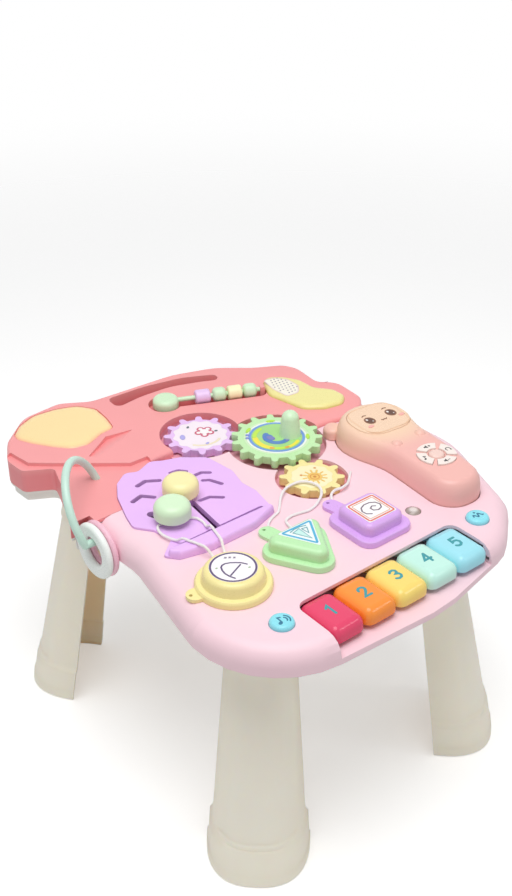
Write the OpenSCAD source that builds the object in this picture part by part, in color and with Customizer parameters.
// Baby activity table: a two-colour play deck on four hollow legs, with gears, a palm track,
// piano keys, shape blocks, a bead rail, a side arch with rings and a lift-out handset.
// Plan sizes are in the deck frame: X = 0 runs through the middle of the piano, +Y away from it.

/* [Deck] */
// Height of the pink deck surface above the floor
deck_top = 270; // [250:1:300]
// Depth of the coloured top shells
shell_depth = 24; // [23:0.5:28]
// Depth of the white pan under the top shells
pan_depth = 12; // [11.5:0.5:16]
// Thickness of the shell walls
wall = 3; // [2:0.25:3.5]
// Thickness of the flat shell tops
top_wall = 3.5; // [3:0.25:4]
// Rounding of the pink deck's upper edge
deck_round = 16; // [8:1:18]
// Rounding of the coral cap's upper edge
cap_round = 4; // [2:0.5:5]
// Height of the coral cap above the pink deck
cap_rise = 4; // [2:0.5:5]
// How far the pan stands in from the pink deck's wall
pan_inset = 20; // [14:1:24]
// Gap between the two coloured shells at their seam
seam_gap = 0.3; // [0.1:0.05:0.6]

/* [Legs] */
// Half width of a leg at the top
leg_half_top = 29; // [27:0.5:31]
// Half width of a leg just above its foot
leg_half_low = 42; // [37:0.5:43]
// Half width of the foot
foot_half = 47.5; // [44:0.5:50]
// Height of the foot
foot_height = 37; // [24:1:45]
// How far the top of a leg stands in over its foot
leg_lean = 35; // [28:1:37]
// Thickness of the leg wall
leg_wall = 3; // [2:0.25:4]
// Depth of the sunken panel on the leg's front
panel_sink = 1.5; // [0.5:0.25:1.5]
// Half width of the plug on top of a leg
plug_half = 19; // [15:0.5:20]
// Depth of the plug
plug_deep = 24; // [18:0.5:26]
// Height of the plug
plug_high = 9; // [7:0.5:10]
// Clearance around a plug in its socket
plug_gap = 0.2; // [0.1:0.05:0.4]

/* [Piano] */
// Spacing of the piano keys
key_pitch = 36.6; // [33:0.2:36.8]
// Gap between neighbouring keys
key_gap = 0.8; // [0.6:0.1:1.5]
// Length of the visible key
key_long = 47; // [42:0.5:49]
// Diameter of the rod that the keys hang on
key_rod_d = 3; // [2.5:0.1:3.5]
// Diametral clearance of the keys on their rod
key_rod_play = 0.1; // [0.05:0.01:0.15]
// How far a key tips when it is pressed, in degrees
key_press = 3.5; // [2:0.1:4]
// Diameter of a round press button
button_d = 21; // [18:0.5:23]
// Height of a round press button above the deck
button_rise = 4; // [3:0.25:5]
// Travel of a round press button
button_press = 2; // [1:0.1:2.4]

/* [Gears] */
// Pitch diameter for each gear tooth
gear_module = 5.7; // [5.4:0.05:5.8]
// Thickness of the gears
gear_thick = 8; // [7:0.25:9]
// Height of the big gear over the two small ones
gear_lift = 5; // [3:0.25:5]
// Diameter of the gear axles
axle_d = 8; // [6:0.25:9]
// Diametral clearance of a gear on its axle
axle_play = 0.15; // [0.1:0.01:0.2]
// Room around a gear in its well
well_gap = 4; // [3:0.25:4.5]

/* [Palm track] */
// Height of the track plate above the deck
plate_rise = 2; // [1:0.25:3]
// Width of the knob tracks
track_w = 8.6; // [8.4:0.1:10]
// Diameter of the neck below a sliding knob
knob_neck_d = 7.6; // [6:0.1:8]
// Radius of a sliding knob
knob_r = 17; // [13:0.5:17]
// Height of a sliding knob
knob_high = 17; // [14:0.5:20]

/* [Blocks] */
// Thickness of the flange round each shape block
flange_thick = 6; // [4:0.25:7]
// Height of a block above the deck
block_high = 18; // [14:0.5:22]
// Clearance round a block's peg in its pocket
peg_gap = 0.5; // [0.3:0.05:0.8]
// Depth of the block pockets
peg_deep = 6; // [4:0.25:7]
// Diameter of the cords
cord_d = 2.6; // [2:0.1:2.8]

/* [Beads and rings] */
// Diameter of the bead rod
bead_rod_d = 5; // [4:0.1:6]
// Diameter of the beads
bead_d = 15.5; // [13:0.5:16]
// Diametral clearance of the beads on their rod
bead_play = 0.4; // [0.3:0.05:0.6]
// Diameter of the bent side rod
arch_d = 7.5; // [6:0.25:8]
// Bend radius of the side rod
arch_r = 46; // [44:0.5:48]
// Diameter of the hole in each ring
ring_hole = 28; // [24:0.5:30]
// Width of the ring band
ring_band = 13; // [10:0.5:14]

/* [Handset] */
// Height of the handset's back above the deck
handset_rise = 24; // [22:0.5:28]
// Depth of the pocket that holds the handset
pocket_deep = 12; // [10:0.5:13]
// Clearance round the handset in its pocket
handset_gap = 0.8; // [0.5:0.1:1.2]
// Wall thickness of the handset shells
handset_wall = 2.5; // [2:0.1:3]
// Travel of the handset buttons
handset_press = 0.8; // [0.4:0.1:1]

/* [Hidden] */

$fn = 48;
arc_step = 15;
eps = 0.01;

// Levels
split_z = deck_top - shell_depth;
pan_z = split_z - pan_depth;
collar_depth = plug_high + 1;
leg_top = split_z - collar_depth;
plate_thick = 2.5;
floor_thick = 2.5;
deck_under = deck_top - top_wall;
cap_top = deck_top + cap_rise;

// Outlines, counter-clockwise: x, y and corner radius
stem_corners = [
    [-176.2, -170.1, 85], [20.2, -182.2, 110], [118.5, -162.6, 60], [163, -126.6, 50],
    [203.3, -21.7, 80], [200, 50, 30], [186, 100, 20], [184, 135, 20], [-152, 135, 20],
    [-152.5, 52, 30], [-150.7, 24.1, 50], [-170.6, -79.9, 60]
];
cap_corners = [
    [-166, 84, 10], [-118, 84, 10], [-62, 133, 10], [8, 133, 20], [66, 80, 20], [118, 80, 12],
    [142, 75, 30], [168, 78, 30], [185, 96.5, 16], [188, 143, 20], [171, 147, 10], [175.4, 188.2, 30],
    [167.3, 203.6, 20], [138.7, 219, 40], [105.1, 246.2, 60], [57.8, 262.1, 80], [-26.2, 266.7, 60],
    [-41.3, 268, 20], [-69.6, 285.2, 20], [-114.5, 281, 30], [-149, 250.6, 30], [-164.2, 223.6, 20],
    [-162.5, 197.9, 8], [-136, 183, 6], [-154, 130, 20], [-168, 104, 10]
];
step_points = [
    [-190, 229], [-190, 60], [-58, 60], [-58, 140], [-77, 140], [-109, 165], [-133, 185],
    [-153, 202], [-157, 229]
];
fold_points = [[-102, 175], [-96, 170], [-54, 184], [-41, 191], [-69, 196]];
slot_corners = [
    [-28, 237, 7], [4, 241, 60], [40, 239.5, 60], [72, 228, 60], [91, 219, 6], [95, 231, 6],
    [62, 248, 60], [20, 257, 60], [-26, 259, 7]
];
left_spot_corners = [
    [-140, 246, 12], [-133, 231, 16], [-121, 213, 18], [-107, 197, 14], [-90, 193.5, 14],
    [-70, 203, 14], [-53, 205, 8], [-48, 226, 20], [-46, 249, 12], [-58, 267, 14], [-78, 275, 24],
    [-104, 278, 24], [-126, 268, 20], [-138, 256, 10]
];
right_spot_corners = [
    [127, 191, 10], [109, 158, 16], [114, 134, 14], [118, 113, 14], [136, 99, 14], [158, 95, 12],
    [170, 106, 10], [169, 122, 10], [156, 138, 12], [155, 160, 12], [146, 176, 12]
];
maze_corners = [
    [-8, 70, 12], [-12, 104, 8], [-33, 121, 10], [-50, 127, 6], [-60, 133, 8], [-79, 125, 8],
    [-90, 131, 8], [-106, 120, 6], [-118, 101, 12], [-129, 70, 20], [-133.5, 53, 8],
    [-122, 38, 6], [-116, 18, 6], [-137, 1, 3], [-128, -10, 5], [-100, -17, 20], [-50, -16, 20],
    [-19, -6, 6], [-12, 30, 8], [-14, 48, 6]
];
hill_corners = [
    [-137, 1, 3], [-128, -10, 5], [-100, -17, 20], [-50, -16, 20], [-19, -6, 3], [-20, 0, 3]
];
handset_corners = [
    [100, -107.5, 24], [151, -108.5, 24], [164.3, -49.6, 60], [168.5, -6.1, 40], [193.8, 64.2, 39],
    [92.7, 65.5, 39], [99.9, 10.3, 40], [108.1, -18.4, 60]
];

// Places in the deck frame
button_at = [114.7, -129];
lens_at = [79, -84];
green_at = [58.9, 84.5];
purple_turn = 131.5;
yellow_turn = 257.9;
crank_at = [13.2, -4.5];
round_at = [-114, -66.5];
triangle_at = [-40, -68];
square_at = [33, -75];
knob_green_at = [-100.5, 38.5];
knob_yellow_at = [-73, 64];
rail_start = [0, 219];
rail_turn = -24;
arch_at = [-144, 108.5, 267];
arch_tilt = -21.5;
arch_turn = 138;
arch_first = -12;
arch_last = 186;
battery_at = [-22, 38];
speaker_at = [62, 62];
board_at = [0, -58];
switch_at = [-75, 150];
keypad_at = [136, -56];
head_at = [141, 27];
handset_axis = 85;
ear_angles = [48, -48];
front_leg_at = [117.3, -103.8];
back_leg_at = [118.3, 188];
front_leg_turn = 138;
back_leg_turn = 38;

// Gear sizes
teeth_purple = 12;
teeth_green = 15;
teeth_yellow = 10;
function pitch_r(teeth) = gear_module*teeth/2;
tip_rise = 0.44*gear_module;
root_drop = 0.74*gear_module;
function outer_r(teeth) = pitch_r(teeth) + tip_rise;
function well_r(teeth) = outer_r(teeth) + well_gap;
function polar(r, a) = [r*cos(a), r*sin(a)];
purple_at = green_at + polar(pitch_r(teeth_green) + pitch_r(teeth_purple), purple_turn);
yellow_at = green_at + polar(pitch_r(teeth_green) + pitch_r(teeth_yellow), yellow_turn);
green_phase = purple_turn;
purple_phase = purple_turn + 180 + 180/teeth_purple;
mesh_lag = (yellow_turn - green_phase) % (360/teeth_green);
yellow_phase = yellow_turn + 180 + mesh_lag*teeth_green/teeth_yellow + 180/teeth_yellow;
gear_z = deck_top + 2 - gear_thick;
tray_floor = gear_z - 2.5;
wells = [
    [purple_at, well_r(teeth_purple), 0], [green_at, well_r(teeth_green), gear_lift],
    [yellow_at, well_r(teeth_yellow), 0]
];
tray_wall = 3;

// Vector helpers
function unit(v) = v/norm(v);
function flat(v) = [v.x, v.y];
function rotv(v, a) = [v.x*cos(a) - v.y*sin(a), v.x*sin(a) + v.y*cos(a)];
function turn(u, v) = atan2(u.x*v.y - u.y*v.x, u.x*v.x + u.y*v.y);

// Points of one rounded corner b between its neighbours a and c, drawn in by d
function corner(a, b, c, d) =
    let (u = unit(flat(b) - flat(a)))
    let (v = unit(flat(c) - flat(b)))
    let (t = turn(u, v))
    let (s = sign(t))
    let (n = [-u.y, u.x])
    let (centre = flat(b) - b.z*tan(abs(t)/2)*u + s*b.z*n)
    let (steps = max(1, ceil(abs(t)/arc_step)))
    [for (i = [0:steps]) centre - s*max(b.z - s*d, eps)*rotv(n, t*i/steps)];

// Rounded outline of a list of corners, drawn in by d
function outline(c, d = 0) =
    let (n = len(c))
    [for (i = [0:n - 1]) each corner(c[(i + n - 1) % n], c[i], c[(i + 1) % n], d)];

// Corners moved to a place and turned
function placed(c, at, a = 0) = [for (p = c) let (q = rotv(flat(p), a)) [q.x + at.x, q.y + at.y, p.z]];

// Centred rounded rectangle
function box_corners(w, h, r) = [[-w/2, -h/2, r], [w/2, -h/2, r], [w/2, h/2, r], [-w/2, h/2, r]];

// Triangles that fill a flat outline, cut off it one ear at a time
function side_of(a, b, p) = (b.x - a.x)*(p.y - a.y) - (b.y - a.y)*(p.x - a.x);
function in_ear(a, b, c, p) =
    side_of(a, b, p) > -1e-9 && side_of(b, c, p) > -1e-9 && side_of(c, a, p) > -1e-9;
function is_ear(pts, i, j, k, ids) =
    side_of(pts[i], pts[j], pts[k]) > 1e-9
    && len([for (m = ids) if (m != i && m != j && m != k && in_ear(pts[i], pts[j], pts[k], pts[m])) m]) == 0;
function ear_at(pts, ids, k = 0) =
    let (n = len(ids))
    is_ear(pts, ids[(k + n - 1) % n], ids[k], ids[(k + 1) % n], ids) ? k : ear_at(pts, ids, k + 1);
function filling(pts, ids, done = []) =
    let (n = len(ids))
    n == 3
        ? concat(done, [ids])
        : let (k = ear_at(pts, ids))
          filling(pts, [for (m = [0:n - 1]) if (m != k) ids[m]],
              concat(done, [[ids[(k + n - 1) % n], ids[k], ids[(k + 1) % n]]]));

// Closed mesh through a list of rings with equal numbers of points; plan gives the end caps
module rings_solid(rings, plan) {
    n = len(rings[0]);
    last = len(rings) - 1;
    points = [for (ring = rings) each ring];
    cap = filling(plan, [for (j = [0:n - 1]) j]);
    sides = [
        for (i = [0:last - 1])
        for (j = [0:n - 1])
        [i*n + j, (i + 1)*n + j, (i + 1)*n + (j + 1) % n, i*n + (j + 1) % n]
    ];
    polyhedron(points, concat(cap, sides, [for (t = cap) [last*n + t[2], last*n + t[1], last*n + t[0]]]));
}

function lifted(points, z) = [for (p = points) [p.x, p.y, z]];

// Outline raised from z0 to z1 with its upper edge rounded: r wide, h high.
// The flat top is cut off a taller solid, so that it's one plane.
module filleted(c, z0, z1, r, h, steps = 4) {
    difference() {
        rings_solid(concat(
            [lifted(outline(c), z0)],
            [for (i = [0:steps]) lifted(outline(c, r*(1 - cos(90*i/steps))), z1 - h + h*sin(90*i/steps))],
            [lifted(outline(c, r), z1 + 2)]
        ), outline(c, r/2));
        translate([-300, -300, z1])
            cube([600, 700, 3]);
    }
}

module slab(points, z0, z1) {
    translate([0, 0, z0])
        linear_extrude(z1 - z0)
            polygon(points);
}

module disc(at, r, z0, z1) {
    translate([at.x, at.y, z0])
        cylinder(h = z1 - z0, r = r);
}

module mirrored_x() {
    children();
    mirror([1, 0, 0])
        children();
}

// Overall extent, which puts the origin under the middle of the table
arch_reach = arch_r*sqrt(1 - pow(cos(arch_tilt)*cos(arch_turn), 2)) + arch_d/2;
x_low = arch_at.x - arch_reach;
x_high = max([for (p = outline(stem_corners)) p.x]);
y_low = min([for (p = outline(stem_corners)) p.y]);
y_high = max([for (p = outline(cap_corners)) p.y]);
middle = [(x_low + x_high)/2, (y_low + y_high)/2];

module place() {
    translate([-middle.x, -middle.y, 0])
        children();
}

// Piano sizes
bay_half = 2.5*key_pitch + 0.5;
bay_back = -118;
bay_floor = deck_top - 18;
key_z = bay_floor + 1.5 + (key_long + 10.5)*sin(key_press);
key_w = key_pitch - key_gap;
key_rod_y = bay_back + 10;
key_rod_z = deck_top - 10;
tunnel_back = key_rod_y + 6;
bay_corners = [
    [-bay_half, -200, 1], [bay_half, -200, 1], [bay_half, bay_back, 10], [-bay_half, bay_back, 10]
];

// Block sizes
round_flange = 33;
round_boss = 26;
round_peg = 20;
triangle_side = 58;
triangle_peg = triangle_side - 8;
square_side = 40;
square_peg = square_side - 8;
function triangle_corners(side, r) = [for (a = [150, 270, 30]) [side*0.577*cos(a), side*0.577*sin(a), r]];
triangle_flange = triangle_side + 28;
square_flange = square_side + 18;
tab_half = 8;
tab_thick = 3.2;
round_tab = [168, 43];
triangle_tab = [100, 47.5];
square_tab = [101, 50.5];

// Seats and screws
screw_at = [
    [-135, -50], [84, -45], [0, -92], [-138, 112], [-20, 205], [174, 128], [75, 213], [-80, 262]
];
screw_d = 3;

// Stem shell: the pink half of the deck
module stem_shell() {
    color("#F8D7E0")
    difference() {
        union() {
            difference() {
                filleted(stem_corners, split_z, deck_top, deck_round, deck_round);
                slab(outline(stem_corners, wall), split_z - 1, deck_top - deck_round + 4);
                slab(outline(stem_corners, wall + 0.5*deck_round), split_z, deck_under);
            }
            stem_tubs();
        }
        slab(outline(cap_corners, -seam_gap), split_z - 1, cap_top + 1);
        bay_cut();
        pocket_cut();
        well_cut();
        maze_cut();
        block_pockets();
        mirrored_x()
            disc(button_at, button_d/2 + 0.3, split_z, deck_top + 1);
        disc(lens_at, 7.3, deck_top - 1.2, deck_top + 1);
        disc(lens_at, 5.2, split_z, deck_top);
        key_rod_bar((key_rod_d + key_rod_play)/2, bay_half + 2);
        tray_rooms();
        translate([wall_x - 5, peg_from.y, peg_from.z])
            rotate([0, 90, 0])
                cylinder(h = 5 + peg_in, r = arch_d/2 + 0.1);
        for (at = [screw_at[0], screw_at[1], screw_at[2]])
            disc(at, screw_d/2, split_z - 1, deck_under - 4);
    }
}

// Walls and floors that hang below the pink deck
module stem_tubs() {
    // Piano bay
    intersection() {
        slab([
            [-bay_half - floor_thick, -200], [bay_half + floor_thick, -200],
            [bay_half + floor_thick, tunnel_back + floor_thick],
            [-bay_half - floor_thick, tunnel_back + floor_thick]
        ], bay_floor - floor_thick, deck_under + eps);
        slab(outline(stem_corners, 1), bay_floor - floor_thick, deck_top - deck_round);
    }
    // Handset pocket
    slab(outline(handset_corners, -handset_gap - floor_thick),
        deck_top - pocket_deep - floor_thick, deck_under + eps);
    // Block pockets
    disc(round_at, round_peg + peg_gap + floor_thick, deck_top - peg_deep - floor_thick, deck_under + eps);
    slab(outline(placed(triangle_corners(triangle_peg, 4), triangle_at, 0), -peg_gap - floor_thick),
        deck_top - peg_deep - floor_thick, deck_under + eps);
    slab(outline(placed(box_corners(square_peg, square_peg, 4), square_at, 0), -peg_gap - floor_thick),
        deck_top - peg_deep - floor_thick, deck_under + eps);
    for (at = [screw_at[0], screw_at[1], screw_at[2]])
        disc(at, 4, split_z, deck_under + eps);
}

module bay_cut() {
    slab(outline(bay_corners), bay_floor, deck_top + 1);
    slab([
        [-bay_half, bay_back - 12], [bay_half, bay_back - 12], [bay_half, tunnel_back],
        [-bay_half, tunnel_back]
    ], bay_floor, deck_under);
}

module pocket_cut() {
    slab(outline(handset_corners, -handset_gap), deck_top - pocket_deep, cap_top + 1);
}

module well_cut() {
    for (w = wells)
        disc(w[0], w[1], split_z - 1, cap_top + 1);
}

module maze_cut() {
    slab(outline(maze_corners, -0.3), split_z - 1, cap_top + 1);
}

// Room under the deck for the gear tray and the back of the palm track
module tray_rooms() {
    for (w = wells)
        disc(w[0], w[1] + tray_wall + 0.3, tray_floor - floor_thick - 0.3, deck_under);
    slab(outline(maze_corners, -lip_w - 0.6), back_floor - 2.3, deck_under);
}

module block_pockets() {
    disc(round_at, round_peg + peg_gap, deck_top - peg_deep, deck_top + 1);
    slab(outline(placed(triangle_corners(triangle_peg, 4), triangle_at, 0), -peg_gap),
        deck_top - peg_deep, deck_top + 1);
    slab(outline(placed(box_corners(square_peg, square_peg, 4), square_at, 0), -peg_gap),
        deck_top - peg_deep, deck_top + 1);
}

// Bead groove: centre line along the rail
groove_from = 33;
groove_to = 116;
groove_half = 9.5;
rail_z = deck_top + 7;
groove_z = deck_top - 8;
rail_end = groove_to + 2;

module on_rail() {
    translate([rail_start.x, rail_start.y, 0])
        rotate([0, 0, rail_turn])
            children();
}

module groove(grow, z0, z1) {
    on_rail() {
        disc([groove_from, 0], groove_half + grow, z0, z1);
        disc([groove_to, 0], groove_half + grow, z0, z1);
        translate([groove_from, -groove_half - grow, z0])
            cube([groove_to - groove_from, 2*(groove_half + grow), z1 - z0]);
        disc([16, 0], 17 + grow, z0 + 5, z1);
    }
}

// Post in the groove's far end that carries the rail
module rail_post() {
    on_rail()
        translate([rail_end, 0, groove_z - 1])
            rotate([0, 0, -90])
                linear_extrude(rail_z + bead_rod_d/2 + 1 - groove_z + 1)
                    polygon(outline([[-3.5, 0, 1], [3.5, 0, 1], [3.5, 5, 1], [-3.5, 5, 1]]));
}

// Cap shell: the coral half of the deck with its lobes
module cap_shell() {
    color("#FFAAAC") {
        cap_body();
        rail_post();
    }
}

module cap_body() {
    difference() {
        filleted(cap_corners, split_z, cap_top, cap_round, cap_round, 3);
        slab(step_points, deck_top, cap_top + 1);
        cap_hollow();
        tray_rooms();
        ring_room(0);
        fold_cut();
        groove(0, groove_z, cap_top + 1);
        slab(outline(slot_corners), split_z - 1, cap_top + 1);
        pocket_cut();
        well_cut();
        maze_cut();
        slab(outline(left_spot_corners, -0.1), cap_top - 2, cap_top + 1);
        slab(outline(right_spot_corners, -0.1), cap_top - 2, cap_top + 1);
        for (i = [3:7])
            disc(screw_at[i], screw_d/2, split_z - 1, deck_under - 4);
    }
}

// Space inside the cap, which runs on into the stem
module cap_hollow() {
    difference() {
        union() {
            slab(outline(cap_corners, wall), split_z - 1, deck_under);
            slab(outline(stem_corners, wall), split_z - 1, deck_under);
        }
        groove(floor_thick, groove_z - floor_thick, cap_top);
        ring_room(wall);
        slab(outline(slot_corners, -floor_thick), split_z - 1, cap_top);
        for (i = [3:7])
            disc(screw_at[i], 4, split_z - 1, cap_top);
    }
}

// Fold between the left lobe and the middle of the cap: a floor that slopes down to the lobe
module fold_cut() {
    intersection() {
        slab(fold_points, cap_top - 5, cap_top + 1);
        translate([-96, 168.5, cap_top])
            rotate([0, 0, 18.4])
                rotate([-15, 0, 0])
                    translate([-20, -20, 0])
                        cube([90, 60, 20]);
    }
}

// Leg plan: local +Y points outward, X along the open back
leg_depth_foot = 57;
leg_depth_low = 54;
leg_depth_top = 39;
leg_round = 2.5;

function leg_half(z) = z <= foot_height
    ? foot_half
    : leg_half_low + (leg_half_top - leg_half_low)*(z - foot_height)/(leg_top - foot_height);
function leg_depth(z) = z <= foot_height
    ? leg_depth_foot
    : leg_depth_low + (leg_depth_top - leg_depth_low)*(z - foot_height)/(leg_top - foot_height);
function leg_back(z) = -leg_lean*z/leg_top;

// Half of a superellipse from the right end to the left end, with semi-axes w and h
function d_curve(w, h, n) = [
    for (i = [0:n])
    let (c = cos(180*i/n))
    let (s = sin(180*i/n))
    [w*sign(c)*pow(abs(c), 2/leg_round), h*pow(s, 2/leg_round)]
];

// Sinking of the front panel, full over the panel's width and height
panel_low = foot_height + 6;
panel_high = leg_top - 22;
function sunk(i, n, level) = level && i > n*0.22 && i < n*0.78 ? panel_sink : 0;

leg_sides = 22;
function leg_ring(z, w, h, level) =
    let (outer = d_curve(w, h, leg_sides))
    let (inner = d_curve(w - leg_wall, h - leg_wall, leg_sides))
    let (y0 = leg_back(z))
    concat(
        [for (i = [0:leg_sides])
            let (p = outer[i])
            let (k = 1 - sunk(i, leg_sides, level)/norm(p))
            [p.x*k, p.y*k + y0, z]],
        [for (i = [leg_sides:-1:0]) [inner[i].x, inner[i].y + y0, z]]
    );

// Heights of the leg's rings, each with its spread over the plain leg and whether the panel is sunk
function leg_levels() = [
    [0, foot_half - 1.5, leg_depth_foot - 1.5, false],
    [1.5, foot_half, leg_depth_foot, false],
    [10.5, foot_half, leg_depth_foot, false],
    [12, foot_half - 1.2, leg_depth_foot - 1, false],
    [foot_height - 3, foot_half - 2.5, leg_depth_foot - 2, false],
    [foot_height, foot_half - 5, leg_depth_foot - 4, false],
    [foot_height + 3, leg_half(foot_height + 3), leg_depth(foot_height + 3), false],
    [panel_low, leg_half(panel_low), leg_depth(panel_low), false],
    [panel_low + 1.5, leg_half(panel_low), leg_depth(panel_low), true],
    [panel_high, leg_half(panel_high), leg_depth(panel_high), true],
    [panel_high + 1.5, leg_half(panel_high), leg_depth(panel_high), false],
    [leg_top, leg_half_top, leg_depth_top, false]
];

module leg_top_plan(d, z0, z1) {
    slab([
        for (p = d_curve(leg_half_top - d, leg_depth_top - 2*d, leg_sides)) [p.x, p.y + d - leg_lean]
    ], z0, z1);
}

plug_centre = 17 - leg_lean;
module plug(grow, z0, z1) {
    slab(outline([for (p = box_corners(2*plug_half, plug_deep, 5)) [p.x, p.y + plug_centre, p.z]], -grow), z0, z1);
}

module leg() {
    color("#E6DED0") {
        rings_solid([for (level = leg_levels()) leg_ring(level[0], level[1], level[2], level[3])],
            leg_ring(0, leg_half_top, leg_depth_top, false));
        leg_top_plan(1.5, leg_top - 3, leg_top);
        plug(0, leg_top - 1, leg_top + plug_high);
    }
}

// Stands a leg at one corner; side is -1 on the left and 1 on the right
module at_leg(at, a, side) {
    translate([side*at.x, at.y, 0])
        rotate([0, 0, -side*a])
            children();
}

module at_all_legs() {
    for (side = [-1, 1]) {
        at_leg(front_leg_at, front_leg_turn, side)
            children();
        at_leg(back_leg_at, back_leg_turn, side)
            children();
    }
}

module leg_front_left() {
    at_leg(front_leg_at, front_leg_turn, -1)
        leg();
}

module leg_front_right() {
    at_leg(front_leg_at, front_leg_turn, 1)
        leg();
}

module leg_back_left() {
    at_leg(back_leg_at, back_leg_turn, -1)
        leg();
}

module leg_back_right() {
    at_leg(back_leg_at, back_leg_turn, 1)
        leg();
}

// Bottom shell: pan, flange plate, leg collars and sockets
socket_roof = leg_top + plug_high + 0.3 + floor_thick;
battery_w = 66;
battery_l = 58;
battery_h = 15;
door_gap = 0.4;

module bottom_shell() {
    color("#F1EEE6")
    difference() {
        union() {
            difference() {
                union() {
                    slab(outline(stem_corners, pan_inset), pan_z, split_z);
                    slab(outline(cap_corners, 4), pan_z, split_z);
                    slab(outline(stem_corners, 4), split_z - plate_thick, split_z);
                    slab(outline(cap_corners, 0.5), split_z - plate_thick, split_z);
                }
                difference() {
                    union() {
                        slab(outline(stem_corners, pan_inset + wall), pan_z + floor_thick, split_z + 1);
                        slab(outline(cap_corners, 4 + wall), pan_z + floor_thick, split_z + 1);
                    }
                    ring_room(wall);
                }
            }
            at_all_legs() {
                leg_top_plan(0, leg_top, leg_top + 3);
                plug(plug_gap + floor_thick, leg_top, socket_roof);
            }
            bottom_posts();
            slab(outline(slot_corners, -floor_thick), pan_z, split_z);
        }
        at_all_legs() {
            leg_top_plan(-0.9, pan_z - 1, leg_top);
            plug(plug_gap, pan_z - 1, leg_top + plug_high + 0.3);
        }
        slab(outline(slot_corners), pan_z - 1, split_z + 1);
        for (at = screw_at) {
            disc(at, screw_d/2 + 0.2, pan_z - 1, split_z + 1);
            disc(at, 3.2, pan_z - 1, pan_z + 4);
        }
        slab(placed_box(battery_at, battery_w, battery_l, 4), pan_z - 1, pan_z + floor_thick + battery_h);
        speaker_grille();
        ring_room(0);
        slab(placed_box(switch_at, 12, 5, 1), pan_z - 1, split_z);
    }
}

function placed_box(at, w, h, r) = outline(placed(box_corners(w, h, r), at));

module bottom_posts() {
    for (at = screw_at)
        disc(at, 5, pan_z, split_z);
    // Battery box
    slab(placed_box(battery_at, battery_w + 5, battery_l + 5, 6), pan_z, pan_z + floor_thick + battery_h + 1.5);
    // Board posts and the ring that holds the speaker
    for (x = [-45, 45])
        for (y = [-20, 20])
            disc(board_at + [x, y], 4, pan_z, board_z);
    difference() {
        disc(speaker_at, speaker_r + 3, pan_z, pan_z + floor_thick + 5);
        disc(speaker_at, speaker_r + 0.3, pan_z + floor_thick, pan_z + floor_thick + 6);
    }
    // Seats under the two press buttons
    mirrored_x()
        disc(button_at, 7, pan_z, button_seat_z);
}

module speaker_grille() {
    for (ring = [0:2])
        for (k = [0:max(0, 6*ring - 1)])
            disc(speaker_at + polar(6.5*ring, ring == 0 ? 0 : 60*k/ring), 1.5, pan_z - 1, pan_z + floor_thick);
}

// Inlays on the lobes
module left_spot() {
    color("#FDE6A8")
        filleted(left_spot_corners, cap_top - 2, cap_top + 1.5, 9, 3, 3);
}

module right_spot() {
    color("#EEF0A0")
        filleted(right_spot_corners, cap_top - 2, cap_top + 4, 5, 4, 3);
}

// Gears and what carries them
module gear_tray() {
    color("#F8D7E0")
    difference() {
        union()
            for (w = wells)
                disc(w[0], w[1] + tray_wall, tray_floor - floor_thick, deck_under);
        for (w = wells)
            disc(w[0], w[1], tray_floor, deck_under + 1);
        slab(outline(maze_corners, -0.3 - lip_w - 0.3), tray_floor - 10, deck_under + 1);
    }
}

module gear_axles() {
    color("#D8D8D8")
        for (w = wells) {
            disc(w[0], axle_d/2 + 4, tray_floor, gear_z + w[2] - 0.3);
            disc(w[0], axle_d/2, tray_floor, gear_z + w[2] + gear_thick - gear_skin - 0.3);
        }
}

// Toothed wheel with a blind bore from below
gear_skin = 1.6;
module gear(teeth, at, phase, lift = 0) {
    translate([at.x, at.y, gear_z + lift])
    difference() {
        linear_extrude(gear_thick)
            union() {
                circle(pitch_r(teeth) - root_drop, $fn = 96);
                for (k = [0:teeth - 1])
                    rotate([0, 0, phase + 360*k/teeth])
                        tooth(pitch_r(teeth));
            }
        translate([0, 0, -1])
            cylinder(h = gear_thick + 1 - gear_skin, r = (axle_d + axle_play)/2);
    }
}

// One rounded tooth pointing along +X
tooth_tip = 0.55*gear_module;
tooth_foot = 0.77*gear_module;
module tooth(pitch) {
    tip_x = pitch + tip_rise - tooth_tip;
    translate([tip_x, 0])
        circle(tooth_tip, $fn = 32);
    polygon([
        [pitch - root_drop - 2, -tooth_foot], [tip_x, -tooth_tip], [tip_x, tooth_tip],
        [pitch - root_drop - 2, tooth_foot]
    ]);
}

module gear_purple() {
    color("#E9C2F4")
        gear(teeth_purple, purple_at, purple_phase);
}

module gear_green() {
    color("#C6EFB4")
        gear(teeth_green, green_at, green_phase, gear_lift);
}

module gear_yellow() {
    color("#F8EBA4")
        gear(teeth_yellow, yellow_at, yellow_phase);
}

// Crank knob: a tapered post with a domed top
module gear_knob() {
    at = green_at + crank_at;
    color("#C4EED0")
    translate([at.x, at.y, gear_z + gear_lift + gear_thick])
        rotate_extrude()
            polygon(concat([[0, 0], [11, 0]], [for (a = [0:15:90]) [8.7*cos(a), 18.3 + 8.7*sin(a)]]));
}

// Palm track: a plate with slots, closed from below
lip_w = 4;
back_floor = deck_top - 13;
slot_turn = atan2(0.917, -0.40);
green_travel = 22;
yellow_turn_track = atan2(0.47, 0.88);
yellow_travel = 28;

module track(at, a, travel, w, z0, z1) {
    translate([at.x, at.y, 0])
        rotate([0, 0, a]) {
            disc([0, 0], w/2, z0, z1);
            disc([travel, 0], w/2, z0, z1);
            translate([0, -w/2, z0])
                cube([travel, w, z1 - z0]);
        }
}

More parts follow.
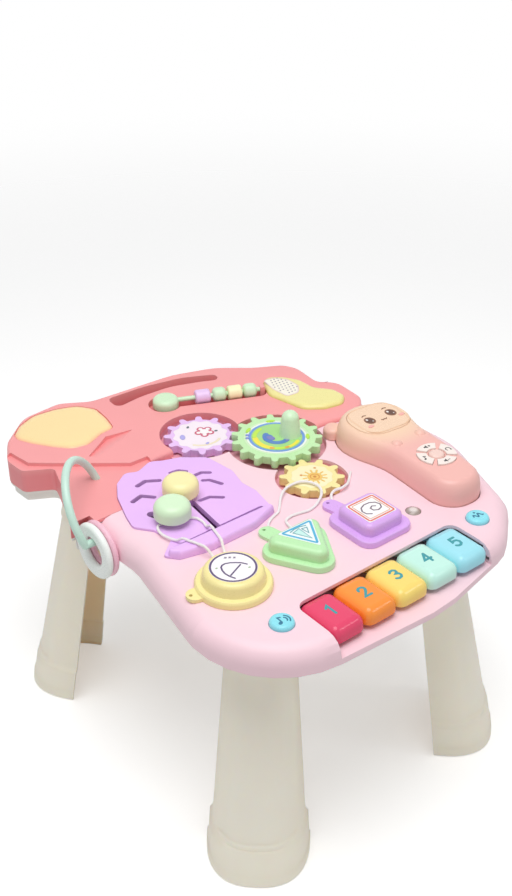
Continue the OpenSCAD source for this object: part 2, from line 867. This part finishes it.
// Slots cut beside the two tracks: points along each, width
fronds = [
    [[[-93, 105], [-83, 107], [-72, 100]], 5], [[[-111, 86], [-100, 89], [-92, 80]], 5],
    [[[-56, 104], [-48, 103], [-43, 97]], 4], [[[-41, 86], [-33, 86], [-27, 81]], 4.4],
    [[[-40, 74], [-35, 71], [-30, 59]], 4.4], [[[-62, 49], [-52, 48], [-43, 40]], 4.4],
    [[[-70, 51], [-75, 5]], 6], [[[-113, 4], [-26, 5]], 5]
];

module maze_plate() {
    color("#EBC0FA")
    difference() {
        union() {
            slab(outline(maze_corners), deck_under, deck_top + plate_rise);
            filleted(hill_corners, deck_top, deck_top + 8, 2.5, 5, 3);
        }
        for (f = fronds)
            for (i = [1:len(f[0]) - 1])
                let (p = f[0][i - 1], q = f[0][i])
                track(p, atan2(q.y - p.y, q.x - p.x), norm(q - p), f[1], deck_under - 1, deck_top + 9);
        track(knob_green_at, slot_turn, green_travel, track_w, deck_under - 1, deck_top + 9);
        track(knob_yellow_at, yellow_turn_track, yellow_travel, track_w, deck_under - 1, deck_top + 9);
    }
}

module maze_back() {
    color("#8F5A96")
    difference() {
        slab(outline(maze_corners, -0.3 - lip_w), back_floor - 2, deck_under);
        slab(outline(maze_corners, 2), back_floor, deck_under + 1);
        for (w = wells)
            disc(w[0], w[1] + tray_wall + 0.3, back_floor - 3, deck_under + 1);
    }
}

knob_under = deck_top + 6.5;
module maze_knob(at) {
    translate([at.x, at.y, 0]) {
        translate([0, 0, back_floor + 0.3])
            cylinder(h = 4, r = 7);
        translate([0, 0, back_floor + 4])
            cylinder(h = knob_under - back_floor - 3.7, r = knob_neck_d/2);
        translate([0, 0, knob_under])
            rotate_extrude()
                polygon(concat(
                    [[0, 0], [knob_r - 2, 0], [knob_r, 2]],
                    [for (a = [0:15:90]) [(knob_r - 8) + 8*cos(a), knob_high - 8 + 8*sin(a)]],
                    [[0, knob_high]]));
    }
}

module maze_knob_yellow() {
    color("#FBF2B4")
        maze_knob(knob_yellow_at);
}

module maze_knob_green() {
    color("#DCF5D0")
        maze_knob(knob_green_at);
}

// Bead rail
module along_rail(x) {
    on_rail()
        translate([x, 0, rail_z])
            rotate([0, 90, 0])
                children();
}

module bead_rail() {
    color("#D2F0C8") {
        along_rail(18)
            cylinder(h = rail_end - 18, r = bead_rod_d/2);
        on_rail()
            translate([17, 0, groove_z + 5])
                rotate_extrude()
                    polygon(concat([[0, 0], [9, 0], [13.5, 4.5]],
                        [for (a = [0:15:90]) [8.5 + 5*cos(a), 10 + 5*sin(a)]], [[0, 15]]));
    }
}

// Beads: place along the rail, length and how round their edges are
bead_places = [[56, 16, 0.5], [74, 14.5, 1], [90.5, 15, 0.5], [107, 14.5, 1]];
module bead(i) {
    b = bead_places[i];
    r = bead_d/2;
    edge = 0.94*b[2]*(bead_d - bead_rod_d - bead_play)/2;
    along_rail(b[0] - b[1]/2)
        rotate_extrude()
            polygon(concat(
                [[(bead_rod_d + bead_play)/2, 0]],
                [for (a = [-90:15:0]) [r - edge + edge*cos(a), edge + edge*sin(a)]],
                [for (a = [0:15:90]) [r - edge + edge*cos(a), b[1] - edge + edge*sin(a)]],
                [[(bead_rod_d + bead_play)/2, b[1]]]));
}

module bead_purple() {
    color("#DDB0F0")
        bead(0);
}

module bead_green_near() {
    color("#C6EFC0")
        bead(1);
}

module bead_yellow() {
    color("#F8E88C")
        bead(2);
}

module bead_green_far() {
    color("#D4F0B8")
        bead(3);
}

// Side arch: a planar bend from the cap's step to the side wall, then a straight end
wall_x = -152.6;
peg_in = 5;
function arch_point(a) =
    let (e1 = [-sin(arch_turn), cos(arch_turn), 0])
    let (e2 = [-sin(arch_tilt)*cos(arch_turn), -sin(arch_tilt)*sin(arch_turn), cos(arch_tilt)])
    arch_at + arch_r*(cos(a)*e1 + sin(a)*e2);
peg_from = arch_point(arch_first);

module side_arch() {
    color("#CDEFDD")
    difference() {
        union() {
            translate(arch_at)
                rotate([0, 90 - arch_tilt, arch_turn])
                    rotate([0, 0, arch_first + 90])
                        rotate_extrude(angle = arch_last - arch_first, $fn = 96)
                            translate([arch_r, 0])
                                circle(arch_d/2, $fn = 32);
            translate(peg_from)
                sphere(arch_d/2 + 0.1);
            translate(peg_from)
                rotate([0, 90, 0])
                    cylinder(h = wall_x - peg_from.x + peg_in - 0.3, r = arch_d/2);
        }
        translate([-140, 100, deck_top - 40])
            cube([60, 80, 40]);
    }
}

// Rings hanging on the straight end; they swing on it
ring_drop = ring_hole/2 - arch_d/2 - 0.3;
ring_swing = 20;
pink_ring_thick = 5.5;
white_ring_thick = 7;
module ring(x, thick) {
    edge = thick/2;
    translate([x, peg_from.y, peg_from.z - ring_drop])
        rotate([0, 90, 0])
            rotate_extrude($fn = 72)
                translate([ring_hole/2 + ring_band/2, 0])
                    union() {
                        square([ring_band - 2*edge, thick], center = true);
                        for (side = [-1, 1])
                            translate([side*(ring_band/2 - edge), 0])
                                circle(edge, $fn = 32);
                    }
}

// Room beside the deck for the swinging rings
module ring_room(grow) {
    for (a = [-ring_swing, 0, ring_swing])
        translate([-210, peg_from.y + ring_drop*sin(a), peg_from.z - ring_drop*cos(a)])
            rotate([0, 90, 0])
                cylinder(h = 210 + wall_x + 0.1 + grow, r = ring_hole/2 + ring_band + 1 + grow, $fn = 96);
}

module ring_pink() {
    color("#F6C4D4")
        ring(wall_x - 0.4 - pink_ring_thick/2, pink_ring_thick);
}

module ring_white() {
    color("#F4FBF6")
        ring(wall_x - 0.8 - pink_ring_thick - white_ring_thick/2, white_ring_thick);
}

// Shape blocks
module tab(at, a, reach) {
    translate([at.x, at.y, deck_top + 0.3])
        rotate([0, 0, a])
            difference() {
                union() {
                    translate([2, -tab_half, 0])
                        cube([reach - tab_half - 2, 2*tab_half, tab_thick]);
                    translate([reach - tab_half, 0, 0])
                        cylinder(h = tab_thick, r = tab_half);
                }
                translate([reach - 4, 0, -1])
                    cylinder(h = tab_thick + 2, r = 1.5);
            }
}

module block_round() {
    z0 = deck_top + 0.3;
    color("#F8EBA4") {
        translate([round_at.x, round_at.y, z0])
            rotate_extrude($fn = 72)
                polygon(concat(
                    [[0, 0], [round_flange, 0], [round_flange, flange_thick - 2],
                        [round_flange - 1.5, flange_thick], [round_boss + 1.5, flange_thick + 0.5]],
                    [for (a = [0:15:90]) [round_boss - 5 + 5*cos(a), block_high - 5 + 5*sin(a)]],
                    [[0, block_high]]));
        disc(round_at, round_peg, deck_top - peg_deep + 0.5, z0 + 1);
        tab(round_at, round_tab[0], round_tab[1]);
    }
}

module block_triangle() {
    z0 = deck_top + 0.3;
    color("#BFEFB8") {
        filleted(placed(triangle_corners(triangle_flange, 14.6), triangle_at), z0, z0 + flange_thick, 2, 2, 2);
        filleted(placed(triangle_corners(triangle_side + 7, 8), triangle_at), z0 + 1, deck_top + block_high, 5, 5, 3);
        slab(outline(placed(triangle_corners(triangle_peg, 4), triangle_at)),
            deck_top - peg_deep + 0.5, z0 + 1);
        tab(triangle_at, triangle_tab[0], triangle_tab[1]);
    }
}

module block_square() {
    z0 = deck_top + 0.3;
    color("#DDB0F0") {
        filleted(placed(box_corners(square_flange, square_flange, 12), square_at), z0, z0 + flange_thick, 2, 2, 2);
        filleted(placed(box_corners(square_side + 4, square_side + 4, 8), square_at),
            z0 + 1, deck_top + block_high, 5, 5, 3);
        slab(outline(placed(box_corners(square_peg, square_peg, 4), square_at)),
            deck_top - peg_deep + 0.5, z0 + 1);
        tab(square_at, square_tab[0], square_tab[1]);
    }
}

// Cords: routes chosen by hand over the deck, as x, y and height above the deck
cord_routes = [
    [
        [-107, -33.4, 2], [-106, -26, 4], [-108, -20, 9.6], [-110, -12, 9.6], [-113, -4, 9.6],
        [-115, 3, 9], [-117, 10, 4.2], [-120, 19, 3.5], [-121, 29, 3.5], [-117, 38, 3.5],
        [-110, 38, 3.5], [-104, 32, 3.5], [-96, 30, 3.5], [-88, 31, 3.5], [-83, 26, 3.5],
        [-82, 18, 3.5], [-84, 10, 4.2], [-85, 3, 9], [-87, -5, 9.6], [-89, -13, 9.6],
        [-91, -20, 9.6], [-94, -28, 3.5], [-96.7, -37.3, 2]
    ],
    [
        [-40.7, -22.9, 1.8], [-37, -18.5, 1.6], [-31, -14.5, 1.5], [-25, -12, 1.5], [-18, -9.5, 1.5],
        [-11, -3, 1.8], [-4, 4, 3.4], [3, 9, 4.4], [10, 12, 4.6], [18, 13, 4.6], [26, 12, 4.6],
        [32, 7, 4.6], [35, -1, 4.6], [33, -10, 4.6], [27, -17, 4.2], [20, -21, 2.4], [12, -24, 1.5],
        [4, -25, 1.5], [-5, -23, 1.5], [-14, -22, 1.5], [-22, -25, 1.5], [-25, -34, 1.6],
        [-25, -42.8, 2]
    ],
    [
        [31.1, -27.1, 1.9], [35, -22, 3.8], [42, -19, 4.4], [50, -20, 4.4], [58, -18, 4],
        [65, -13, 1.8], [72, -7, 1.5], [78, -2, 1.5]
    ]
];
cord_sides = 8;

function along(route, i) = unit(route[min(i + 1, len(route) - 1)] - route[max(i - 1, 0)]);
function cord_ring(route, i) =
    let (t = along(route, i))
    let (side = unit(cross(t, [0, 0, 1])))
    let (up = cross(side, t))
    [for (k = [0:cord_sides - 1])
        let (a = 360*(k + 0.5)/cord_sides)
        route[i] + [0, 0, deck_top] + cord_d/2*(cos(a)*side + sin(a)*up)];

module cord(route) {
    color("#F6F2F4")
        rings_solid([for (i = [0:len(route) - 1]) cord_ring(route, i)],
            [for (k = [0:cord_sides - 1]) polar(1, 360*k/cord_sides)]);
}

module cord_round() {
    cord(cord_routes[0]);
}

module cord_triangle() {
    cord(cord_routes[1]);
}

module cord_square() {
    cord(cord_routes[2]);
}

// Piano keys on their rod
module key_rod_bar(r, half) {
    translate([-half, key_rod_y, key_rod_z])
        rotate([0, 90, 0])
            cylinder(h = 2*half, r = r);
}

module key(i) {
    x = (i - 3)*key_pitch;
    key_back = bay_back - 0.5;
    difference() {
        union() {
            filleted(placed(box_corners(key_w, key_long, 8), [x, key_back - key_long/2]),
                key_z, deck_top + 0.5, 8, 9);
            translate([x - 5, key_back - 3, key_z])
                cube([10, key_rod_y - key_back + 3, 6]);
            translate([x - 6, key_rod_y, key_rod_z])
                rotate([0, 90, 0])
                    cylinder(h = 12, r = 4.5);
        }
        translate([x - 7, key_rod_y, key_rod_z])
            rotate([0, 90, 0])
                cylinder(h = 14, r = (key_rod_d + key_rod_play)/2);
    }
}

module key_1() {
    color("#E8406A")
        key(1);
}

module key_2() {
    color("#FF9838")
        key(2);
}

module key_3() {
    color("#FBDD78")
        key(3);
}

module key_4() {
    color("#C8F5E8")
        key(4);
}

module key_5() {
    color("#A5E8F5")
        key(5);
}

module key_rod() {
    color("#C8C8CC")
        key_rod_bar(key_rod_d/2, bay_half + 1.8);
}

// Rubber domes under the keys and the press buttons
button_seat_z = deck_top - 14;
button_under = button_seat_z + 2 + button_press;
module dome(at, z, h) {
    translate([at.x, at.y, z])
        cylinder(h = h, r1 = 5, r2 = 3);
}

module key_pads() {
    color("#B8B8BC") {
        for (i = [1:5])
            dome([(i - 3)*key_pitch, -150], bay_floor, 1.6);
        mirrored_x()
            dome(button_at, button_seat_z, 1.8);
    }
}

module button(side) {
    translate([side*button_at.x, button_at.y, 0])
        rotate_extrude($fn = 64)
            polygon(concat(
                [[0, button_under], [button_d/2 + 1.5, button_under],
                    [button_d/2 + 1.5, deck_under - 0.3], [button_d/2, deck_under - 0.3]],
                [for (a = [0:15:90])
                    [button_d/2 - 3 + 3*cos(a), deck_top + button_rise - 3 + 3*sin(a)]],
                [[0, deck_top + button_rise]]));
}

module button_left() {
    color("#8FE6F2")
        button(-1);
}

module button_right() {
    color("#8FE6F2")
        button(1);
}

module light_lens() {
    color("#E8D8D8")
    translate([lens_at.x, lens_at.y, deck_top])
        rotate_extrude()
            polygon([
                [0, -6], [5, -6], [5, -1.2], [7, -1.2], [7, -0.4], [6, 0.6], [4, 1.5], [2, 1.9], [0, 2]
            ]);
}

// Electrics
board_z = pan_z + 7;
speaker_r = 25;
module circuit_board() {
    color("#3F8F5A") {
        slab(placed_box(board_at, 100, 50, 2), board_z, board_z + 1.6);
        slab(placed_box(board_at + [-20, 0], 14, 14, 1), board_z + 1.6, board_z + 3.2);
        disc(board_at + [25, 8], 3, board_z + 1.6, board_z + 7);
    }
}

module speaker() {
    color("#4A4A50") {
        translate([speaker_at.x, speaker_at.y, pan_z + floor_thick])
            rotate_extrude()
                polygon([[0, 0], [speaker_r, 0], [speaker_r, 2.5], [14, 8], [14, 14], [0, 14]]);
    }
}

module battery_door() {
    color("#F1EEE6")
        slab(placed_box(battery_at, battery_w - door_gap, battery_l - door_gap, 3.8), pan_z, pan_z + floor_thick);
}

module batteries() {
    color("#6A6E78")
        for (i = [-1:1])
            translate([battery_at.x + 18*i, battery_at.y - 25.2, pan_z + floor_thick + 7.4])
                rotate([-90, 0, 0]) {
                    cylinder(h = 49.2, r = 7.2);
                    translate([0, 0, 49.2])
                        cylinder(h = 1.3, r = 2.7);
                }
}

switch_travel = 6;
module switch_knob() {
    color("#5A5A60")
        translate([switch_at.x - switch_travel/2, switch_at.y, 0]) {
            translate([-2.6, -2.2, pan_z - 1.5])
                cube([5.2, 4.4, 5]);
            translate([-10, -4, pan_z + floor_thick + 0.2])
                cube([20, 8, 1.5]);
        }
}

module shell_screws() {
    color("#C8C8CC")
        for (at = screw_at) {
            disc(at, 2.9, pan_z + 1.6, pan_z + 4);
            disc(at, screw_d/2 - 0.05, pan_z + 4, deck_under - 6);
        }
}

// Handset
handset_z = deck_top - pocket_deep + 0.3;
handset_top_z = deck_top + handset_rise;
nubs_at = [[122, -18], [153, -18]];
ring_in = 9.5;
ring_out = 19;
sector_half = 37;

module keypad_sector(k, grow, z0, z1) {
    a = handset_axis + 90*k;
    inner = ring_in - grow;
    outer = ring_out + grow;
    half = sector_half + grow*3;
    slab(concat(
        [for (i = [0:8]) keypad_at + polar(outer, a - half + half*i/4)],
        [for (i = [0:4]) keypad_at + polar(inner, a + half - half*i/2)]
    ), z0, z1);
}

module handset_top() {
    color("#F5B5A8")
    difference() {
        union() {
            difference() {
                filleted(handset_corners, deck_top, handset_top_z, 9, 18, 5);
                slab(outline(handset_corners, handset_wall + 1), deck_top - 1, deck_top + 12);
                slab(outline(handset_corners, handset_wall + 7), deck_top - 1, handset_top_z - 3);
            }
            for (a = ear_angles)
                let (at = head_at + polar(44, handset_axis + a))
                translate([at.x, at.y, deck_top + 0.5])
                    rotate_extrude()
                        polygon(concat([[0, 0], [9.5, 0], [10, 0.5]],
                            [for (b = [0:15:90]) [5 + 5*cos(b), 6.5 + 5*sin(b)]], [[0, 11.5]]));
            for (at = nubs_at)
                translate([at.x, at.y, handset_top_z - 3.5])
                    sphere(6.5);
        }
        slab(outline(placed(box_corners(62, 52, 22), head_at, handset_axis - 90), -0.1),
            handset_top_z - 1.5, handset_top_z + 1);
        for (k = [0:3])
            keypad_sector(k, 0.3, handset_top_z - 5, handset_top_z + 1);
        disc(keypad_at, 7.9, handset_top_z - 5, handset_top_z + 1);
        disc(keypad_at, ring_out + 1.4, handset_top_z - 12, handset_top_z - 3);
        slab(outline(handset_corners, handset_wall + 7), handset_top_z - 12, handset_top_z - 3);
    }
}

module handset_bottom() {
    color("#F5B5A8") {
        difference() {
            translate([0, 0, deck_top])
                mirror([0, 0, 1])
                    filleted(handset_corners, 0, deck_top - handset_z, 8, 8, 3);
            slab(outline(handset_corners, handset_wall), deck_top - 5, deck_top + 1);
            slab(outline(handset_corners, handset_wall + 6), handset_z + 2.5, deck_top);
        }
        for (x = [-10, 10])
            for (y = [-22, 22])
                disc(handset_board_at + [x, y], 3, handset_z + 1, handset_board_z);
    }
}

handset_board_z = handset_top_z - 7.2 - handset_press;
handset_board_at = [132, -56];
module handset_board() {
    color("#3F8F5A")
        slab(placed_box(handset_board_at, 28, 54, 3), handset_board_z, handset_board_z + 1.6);
}

module handset_face() {
    color("#FCE3BE")
        filleted(placed(box_corners(62, 52, 22), head_at, handset_axis - 90),
            handset_top_z - 1.5, handset_top_z + 1.2, 2, 2, 2);
}

module handset_key(k) {
    color("#FAF7F2") {
        keypad_sector(k, 0, handset_top_z - 4, handset_top_z + 1.5);
        keypad_sector(k, 0.9, handset_top_z - 5.2, handset_top_z - 3.3);
    }
}

module handset_key_1() {
    handset_key(0);
}

module handset_key_2() {
    handset_key(1);
}

module handset_key_3() {
    handset_key(2);
}

module handset_key_4() {
    handset_key(3);
}

module handset_button() {
    color("#F3AFA6")
    translate([keypad_at.x, keypad_at.y, handset_top_z])
        rotate_extrude()
            polygon(concat([[0, -5.2], [8.4, -5.2], [8.4, -3.3], [7.6, -3.3]],
                [for (a = [0:15:90]) [4.6 + 3*cos(a), -0.5 + 3*sin(a)]], [[0, 2.5]]));
}

place() stem_shell();
place() cap_shell();
place() bottom_shell();
place() leg_front_left();
place() leg_front_right();
place() leg_back_left();
place() leg_back_right();
place() left_spot();
place() right_spot();
place() gear_tray();
place() gear_axles();
place() gear_purple();
place() gear_green();
place() gear_yellow();
place() gear_knob();
place() maze_plate();
place() maze_back();
place() maze_knob_yellow();
place() maze_knob_green();
place() bead_rail();
place() bead_purple();
place() bead_green_near();
place() bead_yellow();
place() bead_green_far();
place() side_arch();
place() ring_white();
place() ring_pink();
place() block_round();
place() block_triangle();
place() block_square();
place() cord_round();
place() cord_triangle();
place() cord_square();
place() key_1();
place() key_2();
place() key_3();
place() key_4();
place() key_5();
place() key_rod();
place() key_pads();
place() button_left();
place() button_right();
place() light_lens();
place() circuit_board();
place() speaker();
place() battery_door();
place() batteries();
place() switch_knob();
place() shell_screws();
place() handset_top();
place() handset_bottom();
place() handset_face();
place() handset_key_1();
place() handset_key_2();
place() handset_key_3();
place() handset_key_4();
place() handset_button();
place() handset_board();
